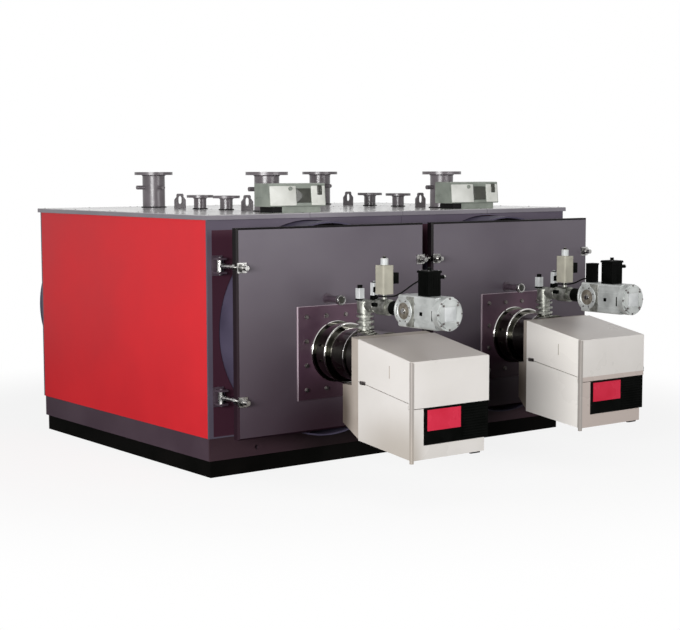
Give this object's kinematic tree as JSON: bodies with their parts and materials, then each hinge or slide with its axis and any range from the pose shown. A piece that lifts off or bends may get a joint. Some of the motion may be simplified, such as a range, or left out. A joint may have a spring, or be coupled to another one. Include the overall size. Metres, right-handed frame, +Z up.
{
  "type": "industrial boiler",
  "caption": "Twin fire-tube hot water boiler in a cased row, with a forced-draught gas burner on each swinging front door.",
  "frame": {"origin": "on the floor, under the middle of the two casings' footprint", "axes": "+Z up, +Y from the burner doors to the rear, +X to the right seen from the front"},
  "size_m": [3.127, 4.0946, 1.915],
  "materials": {
    "beige_plastic": "matt",
    "black_paint": "matt paint",
    "black_plastic": "matt",
    "boiler_steel": "primer",
    "cast_aluminium": "as cast",
    "cover_paint": "satin paint",
    "grey_plastic": "matt",
    "hood_shell": "semi-gloss",
    "nozzle_paint": "satin paint",
    "pipe_metal": "machined",
    "polished_steel": "polished",
    "purple_paint": "satin paint",
    "red_paint": "satin paint",
    "red_plate": "gloss",
    "refractory": "rough cast",
    "tube_steel": "mill scale",
    "zinc_steel": "zinc plated"
  },
  "bodies": {
    "boiler_row": {"base": "black_paint", "bolt_keepers": "zinc_steel", "control_boxes": "grey_plastic", "covers": "cover_paint", "flue_spigots": "boiler_steel", "front_casings": "purple_paint", "hinge_brackets": "zinc_steel", "inner_panels": "purple_paint", "left_furnace_tube": "tube_steel", "lifting_lugs": "nozzle_paint", "plinth": "purple_paint", "rear_casings": "purple_paint", "right_furnace_tube": "tube_steel", "short_nozzles": "nozzle_paint", "side_panels": "red_paint", "smoke_boxes": "boiler_steel", "smoke_tubes": "tube_steel", "tall_nozzles": "nozzle_paint", "tube_plates": "tube_steel", "vessel_shells": "boiler_steel"},
    "left_door": {"left_air_intake": "black_plastic", "left_blast_tube": "polished_steel", "left_burner_back": "hood_shell", "left_burner_body": "hood_shell", "left_burner_hood": "hood_shell", "left_burner_plate": "purple_paint", "left_door_bolts": "zinc_steel", "left_door_lining": "refractory", "left_door_plate": "purple_paint", "left_front_plate": "red_plate", "left_gas_actuator": "beige_plastic", "left_gas_coil": "black_plastic", "left_gas_lead": "black_plastic", "left_gas_pipe": "pipe_metal", "left_gas_switches": "grey_plastic", "left_gas_valve": "cast_aluminium", "left_sight_tube": "zinc_steel"},
    "right_door": {"right_air_intake": "black_plastic", "right_blast_tube": "polished_steel", "right_burner_back": "hood_shell", "right_burner_body": "hood_shell", "right_burner_hood": "hood_shell", "right_burner_plate": "purple_paint", "right_door_bolts": "zinc_steel", "right_door_lining": "refractory", "right_door_plate": "purple_paint", "right_front_plate": "red_plate", "right_gas_actuator": "beige_plastic", "right_gas_coil": "black_plastic", "right_gas_lead": "black_plastic", "right_gas_pipe": "pipe_metal", "right_gas_relay": "black_plastic", "right_gas_switches": "grey_plastic", "right_gas_valve": "cast_aluminium", "right_sight_tube": "zinc_steel"}
  },
  "joints": [
    {"name": "left_door_hinge", "type": "hinge", "parent": "boiler_row", "child": "left_door", "pos_m": [-1.48, -1.2, 0.927], "axis": [0, 0, -1], "range_deg": [0, 100]},
    {"name": "right_door_hinge", "type": "hinge", "parent": "boiler_row", "child": "right_door", "pos_m": [1.48, -1.2, 0.927], "axis": [0, 0, 1], "range_deg": [0, 100]}
  ]
}
